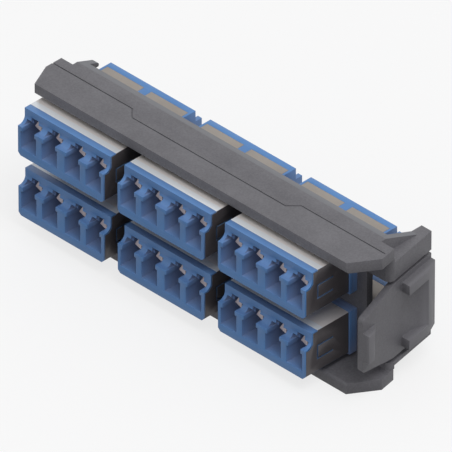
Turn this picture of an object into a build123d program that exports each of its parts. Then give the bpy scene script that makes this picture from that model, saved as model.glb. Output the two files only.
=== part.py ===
from build123d import *
import math
import os

# Fibre adapter plate: a moulded frame that carries three columns and two rows of
# four-port fibre adapters, with a sprung latch lever at its right end.
# X runs along the plate, the ports face -Y, Z is up. X = 0 is the middle of the middle
# column, Y = 0 the plane where the two halves of each adapter meet, Z = 0 the underside.

# How far a cut runs past the material that it clears
overcut = 1.0

# Adapter grid
columns = ["left", "middle", "right"]
rows = ["lower", "upper"]
column_pitch = 29.75
row_pitch = 15.45
adapter_lift = 3.55

# Adapter housings
adapter_width = 25.6
adapter_height = 10.95
front_reach = 14.25
front_step = 2.05
rear_reach = 15.0
rear_step = 1.85
ledge_drop = 3.57
ledge_radius = 1.7
bottom_corner = 0.7
rear_side_drop = 0.15
rear_top_drop = 0.85
rear_bottom_rise = 0.4
flange_half = 1.1
flange_lip = 0.1

# Ports
side_wall = 0.82
pair_extra = 0.61
port_width = 4.6
port_floor = 2.0
port_square = 4.3
key_height = 1.1
key_width = 0.5
slot_width = 2.2
slot_roof = 1.6
catch_height = 1.05
catch_depth = 0.8
ferrule_rise = 4.25

# Split sleeves and their seats in the wall between the front and rear ports. Both have few
# flat sides instead of a round wall, because there are so many of them, deep inside.
sleeve_sides = 6
sleeve_radius = 0.8
sleeve_bore = 0.625
sleeve_length = 6.5
sleeve_slit = 0.3
slit_overcut = 0.2
sleeve_clearance = 0.05
seat_wall = 4.0
ferrule_hole_radius = 0.68
sleeve_end_gap = 0.1

# Sheet-metal clip
sheet = 0.3
sheet_fit = 0.02
flange_gap = 0.3
clip_front_inset = 1.72
clip_rear_inset = 1.6
clip_side_inset = 0.4
clip_side_rise = 0.7
clip_corner = 1.0
prong_half_gap = 1.1
prong_side_inset = 0.6
rear_wing_end = 8.5
rear_wing_low = 3.1
tongue_front = 3.8
tongue_rear = 10.05
tongue_low = 3.75
tongue_high = 7.05
tongue_line = 0.35
tang_low = 4.2
tang_high = 7.4
tang_root = 7.8
tang_flare = 0.45
tang_gap = 0.15
tang_margin = 0.3
tang_tip_margin = 0.2
tang_root_overlap = 0.2
front_sheet_margin = 0.2
prong_bend_margin = 0.1
wing_fold_overlap = 0.5

# Frame
shelf_thickness = 2.7
shelf_gap = 0.85
shelf_front = 8.18
shelf_nose_radius = 0.6
web_thickness = 1.7
web_seat_gap = 0.02
cutout_clearance = 0.1
left_overhang = 3.9
left_taper_x = 2.79
left_taper_y = 6.1
right_front_overhang = 6.05
right_taper_y = 6.4
ear_back = 2.5
ear_width = 3.45
flat_back = 3.85
slope_depth = 2.1
slope_angle = 20.8
groove_width = 0.3
groove_depth = 0.25
groove_back = 0.1
groove_jog = 2.35
groove_left = 22.7
groove_right = 27.4
groove_end_margin = 0.6

# Left hook ribs
hook_thickness = 1.6
hook_reach = 8.84
hook_round = 0.6
hook_step = 0.05
hook_draft = 0.3

# Right bars, fins and window
bar_back = 16.2
bar_back_overhang = 6.89
bar_incline = 0.186
bar_inner_overhang = 3.98
top_bar_height = 4.7
bottom_bar_height = 1.05
fin_thickness = 1.7
fin_end = 13.2
end_wall_radius = 1.4
window_start = 2.9

# Latch lever
lever_thickness = 1.6
top_slit = 0.85
bottom_slit = 1.05
lever_tip = 8.73
taper_start = 2.26
taper_slope = 0.25
tip_corner = 1.0
pad_front = 5.53
pad_crest = 12.6
pad_rise = 2.2
pad_back_rise = 1.1
pad_margin = 1.2
rail_height = 2.4
scoop_start = 6.3
ridge_rise = 1.8
ridge_height = 7.0
ridge_flat = 1.9
ridge_ramp = 2.6
raised_root = 0.5
pivot_back_wall = 1.3
barrel_radius = 1.15
pin_radius = 0.7
pin_clearance = 0.06
pin_length = 1.5
pin_end_gap = 0.15
knuckle_gap = 0.1

# Widths that follow from the adapter's. The four ports spread over it between the side walls,
# and the two pairs stand a little further apart than the ports of a pair.
port_pitch = (adapter_width - 2 * side_wall - port_width - pair_extra) / 3
pair_gap = port_pitch + pair_extra
rear_width = adapter_width - 2 * rear_side_drop
prong_reach = rear_width / 2 - prong_side_inset

# Heights that follow from the sizes above
frame_height = 2 * adapter_lift + row_pitch + adapter_height
mid_height = frame_height / 2
upper_shelf_low = frame_height - shelf_thickness
top_bar_top = upper_shelf_low - shelf_gap
top_bar_low = top_bar_top - top_bar_height
bottom_bar_low = shelf_thickness + shelf_gap
bottom_bar_high = bottom_bar_low + bottom_bar_height
lever_low = bottom_bar_high + bottom_slit
lever_high = top_bar_low - top_slit
lever_mid = (lever_low + lever_high) / 2

# Places along the plate that follow from the sizes above
grid_half = column_pitch + adapter_width / 2
left_end = -grid_half - left_overhang
web_front = flange_half + web_seat_gap
web_back = web_front + web_thickness
slope = math.tan(math.radians(slope_angle))
rear_half = rear_width / 2
housing_half = adapter_width / 2
front_upper = front_reach - front_step
rear_upper = rear_reach - rear_step
rear_top = adapter_height - rear_top_drop
ledge_height = adapter_height - ledge_drop
port_places = [side * (pair_gap / 2 + step) for side in (-1, 1) for step in (0, port_pitch)]


def outer_x(y, rise=0.0):
    """X of the inclined outer plane that the bars and the lever share, at a given Y."""
    return grid_half + bar_back_overhang + bar_incline * (bar_back - y) + rise


def side_plane(x):
    """Plane across the plate, with its own x along +Y and its own y along +Z."""
    return Plane(origin=(x, 0, 0), x_dir=(0, 1, 0), z_dir=(1, 0, 0))


def front_plane(y):
    """Plane that faces -Y, the way it extrudes, with its own x along +X and its own y along +Z."""
    return Plane(origin=(0, y, 0), x_dir=(1, 0, 0), z_dir=(0, -1, 0))


def place_ports(height):
    """The four port centres, at one height, for a sketch on front_plane."""
    return Locations(*[(x, height) for x in port_places])


def port_outline():
    """Square zone, keyed zone and latch slot of every port, in the sketch that is open."""
    with place_ports(port_floor + port_square / 2):
        Rectangle(port_width, port_square)
    with place_ports(port_floor + port_square + key_height / 2):
        Rectangle(port_width - 2 * key_width, key_height)
    slot_low = port_floor + port_square + key_height
    slot_high = adapter_height - slot_roof
    with place_ports((slot_low + slot_high) / 2):
        Rectangle(slot_width, slot_high - slot_low)


def bore_outline(radius):
    """Flat-sided bore or tube of every port, as wide across its flats as a circle of that radius."""
    with place_ports(ferrule_rise):
        RegularPolygon(radius, sleeve_sides, major_radius=False)


def catch_outline():
    """Wide mouth of the latch slot, in front of its two catches."""
    with place_ports(port_floor + port_square + key_height + catch_height / 2):
        Rectangle(port_width, catch_height)


def stepped_side(reach, upper_reach, low, high):
    """Corners of a housing half seen from the side: tall body, ledge, longer lower part."""
    return [(0, low), (reach, low), (reach, ledge_height), (upper_reach, ledge_height),
            (upper_reach, high), (0, high), (0, low)]


def clip_top_line():
    """Upper line of the clip from front to rear, in Y and Z: over the front, down, over the rear."""
    return [(-front_upper + clip_front_inset, adapter_height),
            (-flange_half - front_sheet_margin, adapter_height),
            (flange_half - prong_bend_margin, rear_top),
            (rear_upper - clip_rear_inset, rear_top)]


def strip(line, thickness):
    """Corners of a strip between a line and the same line lowered by a thickness."""
    return [*line, *[(y, z - thickness) for y, z in reversed(line)], line[0]]


# One sheet-metal clip, for an adapter at the origin. The same sketches, grown by the fit,
# sink its pockets into both housings.
def clip_body(grow):
    """Clip as a solid. grow is the clearance that a pocket has over the sheet."""
    line = clip_top_line()
    front_y = line[0][0] - grow
    front_end = line[1][0]
    rear_end = line[3][0] + grow
    wing_front = flange_half + flange_gap
    with BuildPart() as body:
        # Top sheet over the front half
        with BuildSketch(side_plane(-housing_half)):
            with BuildLine():
                Polyline(*strip([(front_y, adapter_height), (front_end, adapter_height)], sheet + grow))
            make_face()
        extrude(amount=2 * housing_half)
        # Two prongs that pass through the flange and lie on the rear half
        for side in (-1, 1):
            inner = prong_half_gap - grow
            start = inner if side > 0 else -prong_reach - grow
            with BuildSketch(side_plane(start)):
                with BuildLine():
                    Polyline(*strip(line[1:3] + [(rear_end, rear_top)], sheet + grow))
                make_face()
            extrude(amount=prong_reach + grow - inner)
            # Outer part of the rear sheet, which folds down into the rear wing
            edge = rear_half - (prong_reach - wing_fold_overlap)
            start = prong_reach - wing_fold_overlap if side > 0 else -rear_half
            with BuildSketch(side_plane(start)):
                with BuildLine():
                    Polyline(*strip([(wing_front - grow, rear_top), (rear_wing_end + grow, rear_top)],
                                    sheet + grow))
                make_face()
            extrude(amount=edge)
            # Rear wing
            start = rear_half - sheet - grow if side > 0 else -rear_half
            with BuildSketch(side_plane(start)):
                wing_low = rear_wing_low - grow
                with BuildLine():
                    Polyline((wing_front - grow, rear_top), (rear_wing_end + grow, rear_top),
                             (rear_wing_end + grow, wing_low), (wing_front - grow, wing_low),
                             (wing_front - grow, rear_top))
                make_face()
            extrude(amount=sheet + grow)
            # Front wing, which follows the step of the face
            start = housing_half - sheet - grow if side > 0 else -housing_half
            step = front_upper - clip_side_inset + grow
            lower = front_reach - clip_side_inset + grow
            with BuildSketch(side_plane(start)):
                with BuildLine():
                    Polyline((front_end, adapter_height), (front_y, adapter_height),
                             (front_y, adapter_height - sheet + grow), (-step, adapter_height - sheet + grow),
                             (-step, ledge_height - clip_side_inset + grow),
                             (-lower, ledge_height - clip_side_inset + grow),
                             (-lower, clip_side_rise - grow), (front_end, clip_side_rise - grow),
                             (front_end, adapter_height))
                make_face()
                corner = (-step, ledge_height - clip_side_inset + grow)
                chamfer(vertices().sort_by_distance(corner)[0], clip_corner)
            extrude(amount=sheet + grow)
    return body


clip_blank = clip_body(0).part
pocket = clip_body(sheet_fit).part

with BuildPart() as clip:
    add(clip_blank)
    # Tongue in each front wing, free at its front end
    slot_rear = -front_upper + tongue_rear - tongue_front
    slot_front = -front_upper + clip_front_inset
    with BuildSketch(side_plane(-housing_half - overcut)):
        with BuildLine():
            Polyline((slot_rear, tongue_low), (slot_front, tongue_low), (slot_front, tongue_high),
                     (slot_rear, tongue_high))
        trace(line_width=tongue_line)
    extrude(amount=adapter_width + 2 * overcut, mode=Mode.SUBTRACT)
    # Tang in each rear wing, flared so that it catches behind the web of the frame
    tang_tip = web_back + tang_gap
    with BuildSketch(side_plane(-rear_half - overcut)):
        with BuildLine():
            window_front = tang_tip - tang_tip_margin
            window_low = tang_low - tang_margin
            window_high = tang_high + tang_margin
            Polyline((window_front, window_low), (tang_root, window_low), (tang_root, window_high),
                     (window_front, window_high), (window_front, window_low))
        make_face()
    extrude(amount=rear_width + 2 * overcut, mode=Mode.SUBTRACT)
    tang_joint = tang_root + tang_root_overlap
    for side in (-1, 1):
        with BuildSketch(Plane.XY.offset(tang_low)):
            outer = side * rear_half
            inner = side * (rear_half - sheet)
            flare = side * tang_flare
            with BuildLine():
                Polyline((outer, tang_joint), (outer, tang_root), (outer + flare, tang_tip),
                         (inner + flare, tang_tip), (inner, tang_root), (inner, tang_joint),
                         (outer, tang_joint))
            make_face()
        extrude(amount=tang_high - tang_low)


# Front half of an adapter, with the front half of the flange
with BuildPart() as front_housing:
    with BuildSketch(side_plane(-housing_half)):
        with BuildLine():
            Polyline(*stepped_side(-front_reach, -front_upper, 0, adapter_height))
        make_face()
        fillet(vertices().sort_by_distance((-front_upper, ledge_height))[0], ledge_radius)
    extrude(amount=adapter_width)
    chamfer(front_housing.edges().filter_by(Axis.Y).group_by(Axis.Z)[0], bottom_corner)
    with BuildSketch(front_plane(0)):
        with Locations((0, adapter_height / 2)):
            Rectangle(adapter_width + 2 * flange_lip, adapter_height)
    extrude(amount=flange_half)
    with BuildSketch(front_plane(-seat_wall)):
        port_outline()
    extrude(amount=front_reach, mode=Mode.SUBTRACT)
    with BuildSketch(front_plane(-front_upper + catch_depth)):
        catch_outline()
    extrude(amount=front_reach, mode=Mode.SUBTRACT)
    # Half of each sleeve's seat, and the narrower hole that lets the ferrule in but keeps the sleeve
    with BuildSketch(front_plane(0)):
        bore_outline(sleeve_radius + sleeve_clearance)
    extrude(amount=sleeve_length / 2 + sleeve_end_gap, mode=Mode.SUBTRACT)
    with BuildSketch(front_plane(0)):
        bore_outline(ferrule_hole_radius)
    extrude(amount=seat_wall, mode=Mode.SUBTRACT)
    add(pocket, mode=Mode.SUBTRACT)


# Rear half of an adapter, narrower than the flange so that it passes the cut-out in the web
with BuildPart() as rear_housing:
    with BuildSketch(side_plane(-rear_half)):
        with BuildLine():
            Polyline(*stepped_side(rear_reach, rear_upper, rear_bottom_rise, rear_top))
        make_face()
    extrude(amount=rear_width)
    chamfer(rear_housing.edges().filter_by(Axis.Y).group_by(Axis.Z)[0], bottom_corner)
    with BuildSketch(front_plane(flange_half)):
        with Locations((0, adapter_height / 2)):
            Rectangle(adapter_width + 2 * flange_lip, adapter_height)
    extrude(amount=flange_half)
    with BuildSketch(front_plane(rear_reach)):
        port_outline()
    extrude(amount=rear_reach - seat_wall, mode=Mode.SUBTRACT)
    with BuildSketch(front_plane(sleeve_length / 2 + sleeve_end_gap)):
        bore_outline(sleeve_radius + sleeve_clearance)
    extrude(amount=sleeve_length / 2 + sleeve_end_gap, mode=Mode.SUBTRACT)
    with BuildSketch(front_plane(seat_wall)):
        bore_outline(ferrule_hole_radius)
    extrude(amount=seat_wall, mode=Mode.SUBTRACT)
    add(pocket, mode=Mode.SUBTRACT)


# Four split sleeves, one to a port
with BuildPart() as sleeves:
    with BuildSketch(front_plane(sleeve_length / 2)):
        bore_outline(sleeve_radius)
        with place_ports(ferrule_rise):
            RegularPolygon(sleeve_bore, sleeve_sides, major_radius=False, mode=Mode.SUBTRACT)
        with place_ports(ferrule_rise + sleeve_radius):
            Rectangle(sleeve_slit, 2 * (sleeve_radius - sleeve_bore + slit_overcut), mode=Mode.SUBTRACT)
    extrude(amount=sleeve_length)


# Moulded frame
right_front = grid_half + right_front_overhang
right_taper_end = -shelf_front + right_taper_y
left_front = left_end + left_taper_x
right_fin_inner = grid_half + bar_inner_overhang
right_fin_outer = right_fin_inner + fin_thickness
hook_left = left_end + ear_width - hook_step
slope_end = flat_back + slope_depth

with BuildPart() as frame:
    # Upper shelf with its ears, and the slope along its back edge
    with BuildSketch(Plane.XY.offset(upper_shelf_low)):
        with BuildLine():
            Polyline((left_front, -shelf_front), (right_front, -shelf_front),
                     (outer_x(right_taper_end), right_taper_end), (outer_x(ear_back), ear_back),
                     (right_fin_outer, ear_back), (right_fin_outer, slope_end),
                     (hook_left, slope_end), (hook_left, ear_back), (left_end, ear_back),
                     (left_end, -shelf_front + left_taper_y), (left_front, -shelf_front))
        make_face()
    extrude(amount=shelf_thickness)
    with BuildSketch(side_plane(left_end)):
        with BuildLine():
            Polyline((flat_back, frame_height), (slope_end + overcut, frame_height),
                     (slope_end + overcut, frame_height - slope * (slope_depth + overcut)),
                     (flat_back, frame_height))
        make_face()
    extrude(amount=outer_x(0) - left_end, mode=Mode.SUBTRACT)
    nose = frame.edges().filter_by(Axis.X).group_by(Axis.Y)[0].sort_by(Axis.Z)[0]
    fillet(nose, shelf_nose_radius)
    # Hook rib at the left
    with BuildSketch(side_plane(hook_left)):
        with BuildLine():
            Polyline((web_back, upper_shelf_low), (web_back, frame_height), (flat_back, frame_height),
                     (hook_reach, frame_height - slope * (hook_reach - flat_back)),
                     (hook_reach - hook_draft, upper_shelf_low), (web_back, upper_shelf_low))
        make_face()
        fillet(vertices().sort_by(Axis.X)[-1], hook_round)
    extrude(amount=hook_thickness)
    # Fin at the right, from the shelf down to the bar
    with BuildSketch(side_plane(right_fin_inner)):
        with BuildLine():
            Polyline((web_front, top_bar_low), (web_front, frame_height), (flat_back, frame_height),
                     (fin_end, top_bar_top), (fin_end, top_bar_low), (web_front, top_bar_low))
        make_face()
    extrude(amount=fin_thickness)
    # The lower half is the mirror image of all this
    mirror(about=Plane.XY.offset(mid_height))
    # Web
    with BuildSketch(Plane.XY.offset(shelf_thickness)):
        with BuildLine():
            Polyline((left_end, web_front), (outer_x(web_front), web_front),
                     (outer_x(web_back), web_back), (left_end, web_back), (left_end, web_front))
        make_face()
        fillet(vertices().sort_by_distance((outer_x(web_front), web_front))[0], end_wall_radius)
    extrude(amount=upper_shelf_low - shelf_thickness)
    # Window between the bars, where the lever sits, out of the web and the top of the lower fin
    window_x = grid_half + window_start
    with BuildSketch(side_plane(window_x)):
        with BuildLine():
            Polyline((web_front - overcut, bottom_bar_high), (bar_back + overcut, bottom_bar_high),
                     (bar_back + overcut, top_bar_low), (web_front - overcut, top_bar_low),
                     (web_front - overcut, bottom_bar_high))
        make_face()
    extrude(amount=outer_x(web_front) - window_x + overcut, mode=Mode.SUBTRACT)
    # Bars above and below the lever
    for low, high in ((bottom_bar_low, bottom_bar_high), (top_bar_low, top_bar_top)):
        with BuildSketch(Plane.XY.offset(low)):
            with BuildLine():
                Polyline((right_fin_inner, web_front), (outer_x(web_front), web_front),
                         (outer_x(bar_back), bar_back), (right_fin_inner, bar_back),
                         (right_fin_inner, web_front))
            make_face()
            fillet(vertices().sort_by_distance((outer_x(web_front), web_front))[0], end_wall_radius)
        extrude(amount=high - low)
    # Cut-outs in the web, one to an adapter
    with BuildSketch(front_plane(web_back + overcut)):
        with Locations(*[((c - 1) * column_pitch,
                          adapter_lift + r * row_pitch + (rear_bottom_rise + rear_top) / 2)
                         for c in range(len(columns)) for r in range(len(rows))]):
            Rectangle(rear_width + 2 * cutout_clearance,
                      rear_top - rear_bottom_rise + 2 * cutout_clearance)
    extrude(amount=web_thickness + 2 * overcut, mode=Mode.SUBTRACT)
    # Line engraved across the upper shelf, stepped forward over its middle
    with BuildSketch(Plane.XY.offset(frame_height)):
        with BuildLine():
            Polyline((left_end, -groove_back), (-groove_left, -groove_back),
                     (-groove_left + groove_jog, -groove_back - groove_jog),
                     (groove_right - groove_jog, -groove_back - groove_jog),
                     (groove_right, -groove_back), (outer_x(0) - groove_end_margin, -groove_back))
        trace(line_width=groove_width)
    extrude(amount=-groove_depth, mode=Mode.SUBTRACT)
    # Bearing holes for the lever's pins
    pivot_y = bar_back - pivot_back_wall
    pivot_x = outer_x(pivot_y) - lever_thickness
    with BuildSketch(Plane.XY.offset(top_bar_low)):
        with Locations((pivot_x, pivot_y)):
            Circle(pin_radius + pin_clearance)
    extrude(amount=pin_length + pin_end_gap, mode=Mode.SUBTRACT)
    with BuildSketch(Plane.XY.offset(bottom_bar_low)):
        with Locations((pivot_x, pivot_y)):
            Circle(pin_radius + pin_clearance)
    extrude(amount=bottom_bar_height, mode=Mode.SUBTRACT)


# Latch lever
with BuildPart() as latch_lever:
    with BuildSketch(Plane.XY.offset(lever_low)):
        with BuildLine():
            Polyline((outer_x(-lever_tip), -lever_tip), (outer_x(bar_back), bar_back),
                     (outer_x(bar_back) - lever_thickness, bar_back),
                     (outer_x(-lever_tip) - lever_thickness, -lever_tip),
                     (outer_x(-lever_tip), -lever_tip))
        make_face()
    extrude(amount=lever_high - lever_low)
    # Thumb pad at the rear
    with BuildSketch(Plane.XY.offset(lever_low + pad_margin)):
        with BuildLine():
            Polyline((outer_x(pad_front, -raised_root), pad_front),
                     (outer_x(pad_front, pad_rise), pad_front),
                     (outer_x(pad_crest, pad_rise), pad_crest),
                     (outer_x(bar_back, pad_back_rise), bar_back),
                     (outer_x(bar_back, -raised_root), bar_back),
                     (outer_x(pad_front, -raised_root), pad_front))
        make_face()
    extrude(amount=lever_high - lever_low - 2 * pad_margin)
    # Hollow between the pad's two rails, which rises to the crest
    with BuildSketch(Plane.XY.offset(lever_low + pad_margin + rail_height)):
        with BuildLine():
            Polyline((outer_x(scoop_start), scoop_start), (outer_x(pad_front - overcut), pad_front - overcut),
                     (outer_x(pad_front - overcut, pad_rise + overcut), pad_front - overcut),
                     (outer_x(pad_crest, pad_rise + overcut), pad_crest),
                     (outer_x(pad_crest, pad_rise), pad_crest))
            TangentArc((outer_x(scoop_start), scoop_start), (outer_x(pad_crest, pad_rise), pad_crest),
                       tangent=(-bar_incline, 1))
        make_face()
    extrude(amount=lever_high - lever_low - 2 * (pad_margin + rail_height), mode=Mode.SUBTRACT)
    # Finger ridge at the tip
    ridge_end = -lever_tip + ridge_flat
    with BuildSketch(Plane.XY.offset(lever_mid - ridge_height / 2)):
        with BuildLine():
            Polyline((outer_x(-lever_tip, -raised_root), -lever_tip),
                     (outer_x(-lever_tip, ridge_rise), -lever_tip),
                     (outer_x(ridge_end, ridge_rise), ridge_end),
                     (outer_x(ridge_end + ridge_ramp), ridge_end + ridge_ramp),
                     (outer_x(ridge_end + ridge_ramp, -raised_root), ridge_end + ridge_ramp),
                     (outer_x(-lever_tip, -raised_root), -lever_tip))
        make_face()
    extrude(amount=ridge_height)
    # Side outline: full height at the rear, tapering to a rounded tip
    tip_drop = taper_slope * (lever_tip + taper_start)
    with BuildSketch(side_plane(grid_half)):
        with BuildLine():
            Polyline((bar_back, lever_low), (bar_back, lever_high), (taper_start, lever_high),
                     (-lever_tip, lever_high - tip_drop), (-lever_tip, lever_low + tip_drop),
                     (taper_start, lever_low), (bar_back, lever_low))
        make_face()
        fillet(vertices().group_by(Axis.X)[0], tip_corner)
    extrude(amount=2 * bar_back, mode=Mode.INTERSECT)
    # Barrel and stub pins at the root
    with BuildSketch(Plane.XY.offset(bottom_bar_high + knuckle_gap)):
        with Locations((pivot_x, pivot_y)):
            Circle(barrel_radius)
    extrude(amount=top_bar_low - bottom_bar_high - 2 * knuckle_gap)
    with BuildSketch(Plane.XY.offset(bottom_bar_low + pin_end_gap)):
        with Locations((pivot_x, pivot_y)):
            Circle(pin_radius)
    extrude(amount=top_bar_low + pin_length - bottom_bar_low - pin_end_gap)


os.makedirs("parts", exist_ok=True)

frame.part.label = "frame"
export_step(frame.part, "parts/frame.step")
latch_lever.part.label = "latch_lever"
export_step(latch_lever.part, "parts/latch_lever.step")

# Every adapter is the same set of four pieces, placed at its own row and column
adapter_pieces = [(front_housing.part, "front_housing"), (rear_housing.part, "rear_housing"),
                  (clip.part, "clip"), (sleeves.part, "sleeves")]
for r, row in enumerate(rows):
    for c, column in enumerate(columns):
        place = Location(((c - 1) * column_pitch, 0, adapter_lift + r * row_pitch))
        for piece, kind in adapter_pieces:
            placed = piece.moved(place)
            placed.label = f"{kind}_{row}_{column}"
            export_step(placed, f"parts/{placed.label}.step")
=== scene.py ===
import math

import bpy
from mathutils import Matrix, Vector


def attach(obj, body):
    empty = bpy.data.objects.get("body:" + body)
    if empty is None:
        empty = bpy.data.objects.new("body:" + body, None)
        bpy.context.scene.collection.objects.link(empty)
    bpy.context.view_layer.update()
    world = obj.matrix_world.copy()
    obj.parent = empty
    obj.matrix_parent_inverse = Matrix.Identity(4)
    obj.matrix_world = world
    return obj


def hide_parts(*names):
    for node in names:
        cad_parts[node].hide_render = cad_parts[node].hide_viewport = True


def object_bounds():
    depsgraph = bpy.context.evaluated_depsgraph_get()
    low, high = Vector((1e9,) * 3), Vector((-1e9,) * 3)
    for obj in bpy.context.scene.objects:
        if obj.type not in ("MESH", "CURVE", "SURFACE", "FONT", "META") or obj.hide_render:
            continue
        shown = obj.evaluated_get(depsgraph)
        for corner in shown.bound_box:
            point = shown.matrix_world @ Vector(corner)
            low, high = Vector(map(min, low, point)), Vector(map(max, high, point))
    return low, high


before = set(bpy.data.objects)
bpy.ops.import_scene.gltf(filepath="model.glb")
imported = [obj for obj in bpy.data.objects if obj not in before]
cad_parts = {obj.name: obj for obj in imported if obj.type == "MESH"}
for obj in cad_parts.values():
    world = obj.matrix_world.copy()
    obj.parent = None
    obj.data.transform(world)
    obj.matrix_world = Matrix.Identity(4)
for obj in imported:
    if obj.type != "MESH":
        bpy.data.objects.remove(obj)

# Fibre adapter plate: a dark grey moulded plate with six blue adapters, their sheet-metal
# clips and a latch lever at the right end. Places are in metres, in the frame of the CAD part.
cad_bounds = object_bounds()
bpy.ops.object.select_all(action="DESELECT")

MM = 0.001
ROWS = ("lower", "upper")
COLUMNS = ("left", "middle", "right")

# The photograph is a parallel view, so a long lens stands far off. A lens much over 1700 would
# put the camera of the other views further off than it sees.
VIEW_AZIMUTH = 45.0
VIEW_ELEVATION = 35.264
VIEW_TARGET = Vector((4.605, 0.483, 16.647)) * MM
VIEW_WIDTH = 94.71 * MM
LENS = 1500.0
SENSOR = 36.0
CAMERA_REACH = 30

# Key light, a square lamp high at the right of the object: where it stands in degrees, its
# distance and side in metres, and its power in watts
KEY_AZIMUTH = 80
KEY_ELEVATION = 64
KEY_DISTANCE = 1.2
KEY_SIZE = 0.6
KEY_POWER = 5

# Side of the floor, its share of plain white where it is seen, and the world's strength as a light
FLOOR_SIZE = 12
FLOOR_GLOW = 0.75
WORLD_LIGHT = 0.60

# Clouds and specks of a surface's colour and clouds of its gloss, in features per metre
COLOUR_CLOUDS = 140
COLOUR_SPECKS = 2400
GLOSS_CLOUDS = 420

# Band of the noise over which a colour changes, and how strongly the grain shows
BAND_LOW = 0.35
BAND_HIGH = 0.65
GRAIN_STRENGTH = 0.5

# Back edge of the painted light on each clip's front lip
LIT_LIP_BACK = -8.94 * MM

# How far the walls of a port see each other for the painted light in recesses, and with how many rays
RECESS_REACH = 6 * MM
RECESS_SAMPLES = 8

# Height in its adapter above which all of a clip is its top sheet; below it the clip gets a painted
# reflection of the blue housing
TOP_SHEET_LOW = 9.0 * MM

# Share by which the slope behind the upper shelf leans back, times the share by which it looks up, at which
# its painted light is full
SLOPE_LEAN = 0.33

# Outer plane of the lever: its X where Y is 0, and how much it comes in for each unit of Y.
# What rises above it gets a painted highlight, from the first of these two rises and fully from the second.
LEVER_PLANE_X = 52.45 * MM
LEVER_INCLINE = 0.186
RAISED_LIGHT_START = 1.0 * MM
RAISED_LIGHT_FULL = 1.7 * MM

# Places of the adapters, and of the four ports in each
COLUMN_PITCH = 29.75 * MM
ROW_PITCH = 15.45 * MM
ADAPTER_LIFT = 3.55 * MM
PORT_PLACES = (-9.68 * MM, -3.43 * MM, 3.43 * MM, 9.68 * MM)

# Leaf at the right of each latch slot: its face and thickness, its right side and low and high
# ends, and the two slanted sides that meet at its tip
LEAF_FACE = -11.45 * MM
LEAF_THICKNESS = 0.15 * MM
LEAF_RIGHT = 1.12 * MM
LEAF_LOW = 6.45 * MM
LEAF_HIGH = 8.70 * MM
LEAF_TIP = (-0.80 * MM, 7.00 * MM)
LEAF_TOP_X = 0.24 * MM
LEAF_FOOT_X = 0.69 * MM

# Edge roundings
FRAME_EDGE = 0.18 * MM
LEVER_EDGE = 0.22 * MM
HOUSING_EDGE = 0.09 * MM
CLIP_EDGE = 0.04 * MM
EDGE_SEGMENTS = 2
EDGE_ANGLE = math.radians(28)
FLAT_ANGLE = math.radians(1)
MERGE_DISTANCE = 0.002 * MM


def linear(red, green, blue):
    """Scene colour of a colour that is written as three screen values from 0 to 255."""
    channels = []
    for value in (red, green, blue):
        share = value / 255
        channels.append(share / 12.92 if share <= 0.04045 else ((share + 0.055) / 1.055) ** 2.4)
    return (*channels, 1.0)


def noise(tree, coordinates, scale, detail, stretch=(1, 1, 1)):
    """Noise on the object's own coordinates. scale is in features per metre."""
    mapping = tree.nodes.new("ShaderNodeMapping")
    mapping.inputs["Scale"].default_value = stretch
    texture = tree.nodes.new("ShaderNodeTexNoise")
    texture.inputs["Scale"].default_value = scale
    texture.inputs["Detail"].default_value = detail
    tree.links.new(coordinates.outputs["Object"], mapping.inputs["Vector"])
    tree.links.new(mapping.outputs["Vector"], texture.inputs["Vector"])
    return texture.outputs["Fac"]


def ramp(tree, factor, low, high, reflected_colour, high_colour):
    """Colour that runs from one to another as a factor goes from low to high."""
    node = tree.nodes.new("ShaderNodeValToRGB")
    node.color_ramp.elements[0].position = low
    node.color_ramp.elements[0].color = reflected_colour
    node.color_ramp.elements[1].position = high
    node.color_ramp.elements[1].color = high_colour
    tree.links.new(factor, node.inputs["Fac"])
    return node.outputs["Color"]


def surface(name, reflected_colour, high_colour, roughness, roughness_swing, grain, grain_depth,
            metallic=0.0, stretch=(1, 1, 1), speckle=0.2):
    """Material with a cloudy and speckled colour, an uneven gloss and a fine raised grain.

    grain is in features per metre and grain_depth in metres. stretch makes the gloss and the
    grain longer along an axis, and speckle is the share of the specks in the colour.
    """
    material = bpy.data.materials.new(name)
    material.use_nodes = True
    tree = material.node_tree
    shader = tree.nodes["Principled BSDF"]
    coordinates = tree.nodes.new("ShaderNodeTexCoord")
    mottle = tree.nodes.new("ShaderNodeMix")
    mottle.inputs["Factor"].default_value = speckle
    tree.links.new(noise(tree, coordinates, COLOUR_CLOUDS, 4), mottle.inputs["A"])
    tree.links.new(noise(tree, coordinates, COLOUR_SPECKS, 1), mottle.inputs["B"])
    tree.links.new(ramp(tree, mottle.outputs["Result"], BAND_LOW, BAND_HIGH, reflected_colour, high_colour),
                   shader.inputs["Base Color"])
    spread = tree.nodes.new("ShaderNodeMapRange")
    spread.inputs["To Min"].default_value = roughness - roughness_swing
    spread.inputs["To Max"].default_value = roughness + roughness_swing
    tree.links.new(noise(tree, coordinates, GLOSS_CLOUDS, 3, stretch), spread.inputs["Value"])
    tree.links.new(spread.outputs["Result"], shader.inputs["Roughness"])
    bump = tree.nodes.new("ShaderNodeBump")
    bump.inputs["Distance"].default_value = grain_depth
    bump.inputs["Strength"].default_value = GRAIN_STRENGTH
    tree.links.new(noise(tree, coordinates, grain, 2, stretch), bump.inputs["Height"])
    tree.links.new(bump.outputs["Normal"], shader.inputs["Normal"])
    shader.inputs["Metallic"].default_value = metallic
    return material


def mix_in(material, factor, colour):
    """Blends a colour into a material's base colour as a factor goes from 0 to 1."""
    tree = material.node_tree
    base = tree.nodes["Principled BSDF"].inputs["Base Color"]
    mix = tree.nodes.new("ShaderNodeMix")
    mix.data_type = "RGBA"
    mix_sockets = {socket.identifier: socket for socket in mix.inputs}
    mix_sockets["B_Color"].default_value = colour
    tree.links.new(factor, mix_sockets["Factor_Float"])
    tree.links.new(base.links[0].from_socket, mix_sockets["A_Color"])
    tree.links.new(next(socket for socket in mix.outputs if socket.identifier == "Result_Color"), base)


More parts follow.
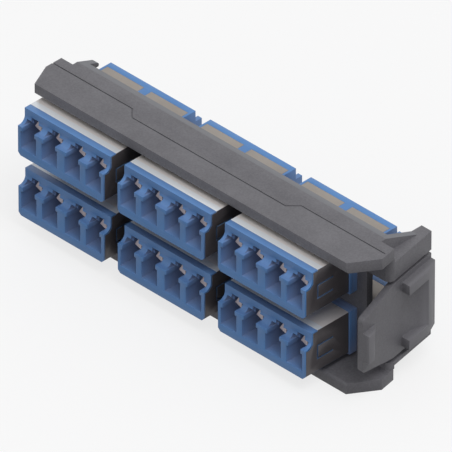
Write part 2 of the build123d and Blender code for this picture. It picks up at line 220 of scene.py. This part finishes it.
def calculate(tree, operation, first, second, clamped=False):
    """Result of a sum on two inputs, each of which is a socket or a number."""
    node = tree.nodes.new("ShaderNodeMath")
    node.operation = operation
    node.use_clamp = clamped
    for socket, value in zip(node.inputs, (first, second)):
        if isinstance(value, (int, float)):
            socket.default_value = value
        else:
            tree.links.new(value, socket)
    return node.outputs["Value"]


def place_parts(tree):
    """X, Y and Z of a point in the object's own coordinates."""
    coordinates = tree.nodes.new("ShaderNodeTexCoord")
    parts = tree.nodes.new("ShaderNodeSeparateXYZ")
    tree.links.new(coordinates.outputs["Object"], parts.inputs["Vector"])
    return parts.outputs


def normal_parts(tree):
    """X, Y and Z of the direction in which a face looks."""
    facing = tree.nodes.new("ShaderNodeNewGeometry")
    parts = tree.nodes.new("ShaderNodeSeparateXYZ")
    tree.links.new(facing.outputs["True Normal"], parts.inputs["Vector"])
    return parts.outputs


def paint_light_ahead(material, back, front_light_colour):
    """Paints light on a material: gives it a brighter colour on what lies ahead of a place along Y."""
    tree = material.node_tree
    mix_in(material, calculate(tree, "LESS_THAN", place_parts(tree)["Y"], back), front_light_colour)


def paint_reflection_below(material, height, reflected_colour):
    """Paints a reflection on a material below a height in its own adapter, such as the blue housing
    mirrored in a clip's slit.
    """
    tree = material.node_tree
    above_lift = calculate(tree, "SUBTRACT", place_parts(tree)["Z"], ADAPTER_LIFT)
    in_adapter = calculate(tree, "MODULO", above_lift, ROW_PITCH)
    mix_in(material, calculate(tree, "LESS_THAN", in_adapter, height), reflected_colour)


def paint_shade_on_sides(material, side_shade_colour):
    """Paints shade on a material: turns it dark on the faces that look left and right, such as a clip's
    side sheets.
    """
    tree = material.node_tree
    mix_in(material, calculate(tree, "ABSOLUTE", normal_parts(tree)["X"], 0), side_shade_colour)


def paint_light_on_slope(material, lean, slope_light_colour):
    """Paints light on a material: makes it paler where it looks up and leans back, such as the slope behind
    a shelf.
    """
    tree = material.node_tree
    parts = normal_parts(tree)
    leaning = calculate(tree, "MULTIPLY", parts["Y"], parts["Z"])
    mix_in(material, calculate(tree, "DIVIDE", leaning, lean, clamped=True), slope_light_colour)


def paint_light_on_raised(material, plane_x, incline, start, full, raised_light_colour):
    """Paints a highlight on a material, paler from one rise to another above an inclined plane, on the
    lever's raised parts.
    """
    tree = material.node_tree
    parts = place_parts(tree)
    set_back = calculate(tree, "MULTIPLY", parts["Y"], incline)
    rise = calculate(tree, "SUBTRACT", calculate(tree, "ADD", parts["X"], set_back), plane_x + start)
    mix_in(material, calculate(tree, "DIVIDE", rise, full - start, clamped=True), raised_light_colour)


def paint_light_in_recesses(material, reach, recess_light_colour):
    """Paints light into deep recesses, such as the inside of a port, so that a material is paler and greyer
    there.
    """
    tree = material.node_tree
    openness = tree.nodes.new("ShaderNodeAmbientOcclusion")
    openness.samples = RECESS_SAMPLES
    openness.inputs["Distance"].default_value = reach
    mix_in(material, calculate(tree, "SUBTRACT", 1.0, openness.outputs["AO"]), recess_light_colour)


frame_plastic = surface("dark_grey_moulding", linear(94, 93, 98), linear(110, 109, 114),
                        roughness=0.56, roughness_swing=0.06, grain=5200, grain_depth=0.010 * MM,
                        speckle=0.5)
# Painted light: the slope behind the upper shelf is paler, as if lit from behind
paint_light_on_slope(frame_plastic, SLOPE_LEAN, linear(113, 114, 119))

lever_plastic = surface("latch_moulding", linear(94, 93, 98), linear(106, 105, 110),
                        roughness=0.52, roughness_swing=0.06, grain=5200, grain_depth=0.010 * MM,
                        speckle=0.5)
# Painted highlight on the raised rails, rim and ridge of the lever
paint_light_on_raised(lever_plastic, LEVER_PLANE_X, LEVER_INCLINE, RAISED_LIGHT_START, RAISED_LIGHT_FULL, linear(113, 112, 117))

adapter_plastic = surface("blue_adapter_moulding", linear(80, 131, 192), linear(85, 137, 198),
                          roughness=0.40, roughness_swing=0.05, grain=6400, grain_depth=0.005 * MM)
# Painted light: the insides of the ports are paler and greyer
paint_light_in_recesses(adapter_plastic, RECESS_REACH, linear(132, 136, 158))

# Painted shade on the rear prongs, then painted light on the top sheet ahead of the flange and on its lip,
# a painted reflection of the blue housing in the slit, and painted shade on the side sheets
clip_metal = surface("clip_spring_sheet", linear(146, 138, 130), linear(154, 146, 138),
                     roughness=0.36, roughness_swing=0.08, grain=2600, grain_depth=0.003 * MM,
                     metallic=0.25, stretch=(0.12, 1, 1))
paint_light_ahead(clip_metal, 0.0, linear(228, 222, 219))
paint_light_ahead(clip_metal, LIT_LIP_BACK, linear(226, 230, 235))
paint_reflection_below(clip_metal, TOP_SHEET_LOW, linear(92, 124, 160))
paint_shade_on_sides(clip_metal, linear(88, 84, 87))

leaf_metal = surface("latch_leaf_sheet", linear(206, 193, 194), linear(216, 203, 204),
                     roughness=0.38, roughness_swing=0.06, grain=2600, grain_depth=0.002 * MM,
                     metallic=0.2)

sleeve_ceramic = surface("sleeve_ceramic", linear(232, 231, 226), linear(240, 239, 235),
                         roughness=0.20, roughness_swing=0.04, grain=8000, grain_depth=0.001 * MM)


def select_only(piece):
    """Makes one piece the selected and active one, which the operators act on."""
    bpy.ops.object.select_all(action="DESELECT")
    piece.select_set(True)
    bpy.context.view_layer.objects.active = piece


def rounded_copy(node, body, width, material):
    """Adds a copy of a CAD node with its sharp edges rounded, which stands for the node."""
    piece = bpy.data.objects.new(f"{node}_finished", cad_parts[node].data.copy())
    bpy.context.scene.collection.objects.link(piece)
    select_only(piece)
    bpy.ops.object.mode_set(mode="EDIT")
    bpy.ops.mesh.select_all(action="SELECT")
    bpy.ops.mesh.remove_doubles(threshold=MERGE_DISTANCE)
    bpy.ops.mesh.dissolve_limited(angle_limit=FLAT_ANGLE)
    bpy.ops.object.mode_set(mode="OBJECT")
    rounding = piece.modifiers.new("edge_rounding", "BEVEL")
    rounding.width = width
    rounding.segments = EDGE_SEGMENTS
    rounding.limit_method = "ANGLE"
    rounding.angle_limit = EDGE_ANGLE
    bpy.ops.object.modifier_apply(modifier=rounding.name)
    bpy.ops.object.shade_smooth_by_angle(angle=EDGE_ANGLE)
    piece.data.materials.clear()
    piece.data.materials.append(material)
    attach(piece, body)
    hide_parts(node)


rounded_copy("frame", "plate", FRAME_EDGE, frame_plastic)
rounded_copy("latch_lever", "latch", LEVER_EDGE, lever_plastic)
for row in ROWS:
    for column in COLUMNS:
        for half in ("front_housing", "rear_housing"):
            rounded_copy(f"{half}_{row}_{column}", "plate", HOUSING_EDGE, adapter_plastic)
        rounded_copy(f"clip_{row}_{column}", "plate", CLIP_EDGE, clip_metal)
        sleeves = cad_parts[f"sleeves_{row}_{column}"]
        sleeves.data.materials.clear()
        sleeves.data.materials.append(sleeve_ceramic)


def port_leaf():
    """Leaf of spring sheet for a port at the origin: a plate that two slanted cuts bring to a tip."""
    width, height = LEAF_RIGHT - LEAF_TIP[0], LEAF_HIGH - LEAF_LOW
    centre = (LEAF_RIGHT - width / 2, LEAF_FACE, LEAF_HIGH - height / 2)
    bpy.ops.object.select_all(action="DESELECT")
    bpy.ops.mesh.primitive_plane_add(size=1, location=centre, rotation=(math.radians(90), 0, 0))
    leaf = bpy.context.active_object
    leaf.scale = (width, height, 1)
    bpy.ops.object.transform_apply(location=True, rotation=True, scale=True)
    bpy.ops.object.mode_set(mode="EDIT")
    tip = Vector((LEAF_TIP[0], LEAF_FACE, LEAF_TIP[1]))
    for x, z in ((LEAF_TOP_X, LEAF_HIGH), (LEAF_FOOT_X, LEAF_LOW)):
        along = Vector((x, LEAF_FACE, z)) - tip
        outward = along.cross(Vector((0, -1 if z < LEAF_TIP[1] else 1, 0)))
        bpy.ops.mesh.select_all(action="SELECT")
        bpy.ops.mesh.bisect(plane_co=tip, plane_no=outward.normalized(), clear_outer=True)
    bpy.ops.object.mode_set(mode="OBJECT")
    wall = leaf.modifiers.new("leaf_thickness", "SOLIDIFY")
    wall.thickness = LEAF_THICKNESS
    bpy.ops.object.modifier_apply(modifier=wall.name)
    return leaf


first_leaf = port_leaf()
for r, row in enumerate(ROWS):
    for c, column in enumerate(COLUMNS):
        for port, port_x in enumerate(PORT_PLACES, start=1):
            leaf = bpy.data.objects.new(f"port_leaf_{row}_{column}_{port}", first_leaf.data.copy())
            bpy.context.scene.collection.objects.link(leaf)
            leaf.data.transform(Matrix.Translation(((c - 1) * COLUMN_PITCH + port_x, 0,
                                                    ADAPTER_LIFT + r * ROW_PITCH)))
            leaf.data.materials.append(leaf_metal)
            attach(leaf, "plate")
bpy.data.objects.remove(first_leaf)


def toward_camera(azimuth, elevation):
    """Direction from the object to a viewer at an azimuth and an elevation in degrees."""
    turn, rise = math.radians(azimuth), math.radians(elevation)
    return Vector((math.cos(rise) * math.sin(turn), -math.cos(rise) * math.cos(turn), math.sin(rise)))


def aim(thing):
    """Turns a camera or a lamp, which looks along its own -Z, towards the middle of the view."""
    thing.rotation_euler = (VIEW_TARGET - thing.location).to_track_quat("-Z", "Y").to_euler()


camera_data = bpy.data.cameras.new("photo_camera")
camera_data.lens = LENS
camera_data.sensor_width = SENSOR
camera_data.clip_end = CAMERA_REACH
camera = bpy.data.objects.new("photo_camera", camera_data)
bpy.context.scene.collection.objects.link(camera)
camera.location = VIEW_TARGET + toward_camera(VIEW_AZIMUTH, VIEW_ELEVATION) * VIEW_WIDTH * LENS / SENSOR
aim(camera)
bpy.context.scene.camera = camera

lamp_data = bpy.data.lights.new("key_light", "AREA")
lamp_data.size = KEY_SIZE
lamp_data.energy = KEY_POWER
lamp = bpy.data.objects.new("key_light", lamp_data)
bpy.context.scene.collection.objects.link(lamp)
lamp.location = VIEW_TARGET + toward_camera(KEY_AZIMUTH, KEY_ELEVATION) * KEY_DISTANCE
aim(lamp)


def seen_directly(tree):
    """1 for the rays of the camera and of mirrored and refracted views, 0 for rays that light a surface."""
    path = tree.nodes.new("ShaderNodeLightPath")
    either = path.outputs["Is Camera Ray"]
    for ray in ("Is Glossy Ray", "Is Transmission Ray"):
        either = calculate(tree, "MAXIMUM", either, path.outputs[ray])
    return either


# Floor that is white where it is seen, and keeps a share of its own shade so that the shadow shows
floor_paint = surface("pale_floor", linear(58, 58, 60), linear(62, 62, 64),
                      roughness=0.8, roughness_swing=0.02, grain=900, grain_depth=0.001 * MM)
floor_tree = floor_paint.node_tree
floor_seen = seen_directly(floor_tree)
mix_in(floor_paint, floor_seen, linear(240, 240, 241))
glow = floor_tree.nodes.new("ShaderNodeEmission")
blend = floor_tree.nodes.new("ShaderNodeMixShader")
floor_tree.links.new(calculate(floor_tree, "MULTIPLY", floor_seen, FLOOR_GLOW), blend.inputs["Fac"])
floor_tree.links.new(floor_tree.nodes["Principled BSDF"].outputs["BSDF"], blend.inputs[1])
floor_tree.links.new(glow.outputs["Emission"], blend.inputs[2])
floor_tree.links.new(blend.outputs["Shader"], floor_tree.nodes["Material Output"].inputs["Surface"])

floor_low = cad_bounds[0][2]
bpy.ops.mesh.primitive_plane_add(size=FLOOR_SIZE, location=(0, 0, floor_low))
floor = bpy.context.active_object
floor.name = "studio_floor"
floor.data.materials.append(floor_paint)

# World that is white where it is seen and softer as a light
world = bpy.data.worlds.new("studio_world")
bpy.context.scene.world = world
world.use_nodes = True
world_tree = world.node_tree
background = world_tree.nodes["Background"]
background.inputs["Color"].default_value = (1, 1, 1, 1)
level = world_tree.nodes.new("ShaderNodeMapRange")
level.inputs["To Min"].default_value = WORLD_LIGHT
level.inputs["To Max"].default_value = 1.0
world_tree.links.new(seen_directly(world_tree), level.inputs["Value"])
world_tree.links.new(level.outputs["Result"], background.inputs["Strength"])
bpy.context.scene.view_settings.view_transform = "Standard"

bpy.ops.object.select_all(action="DESELECT")
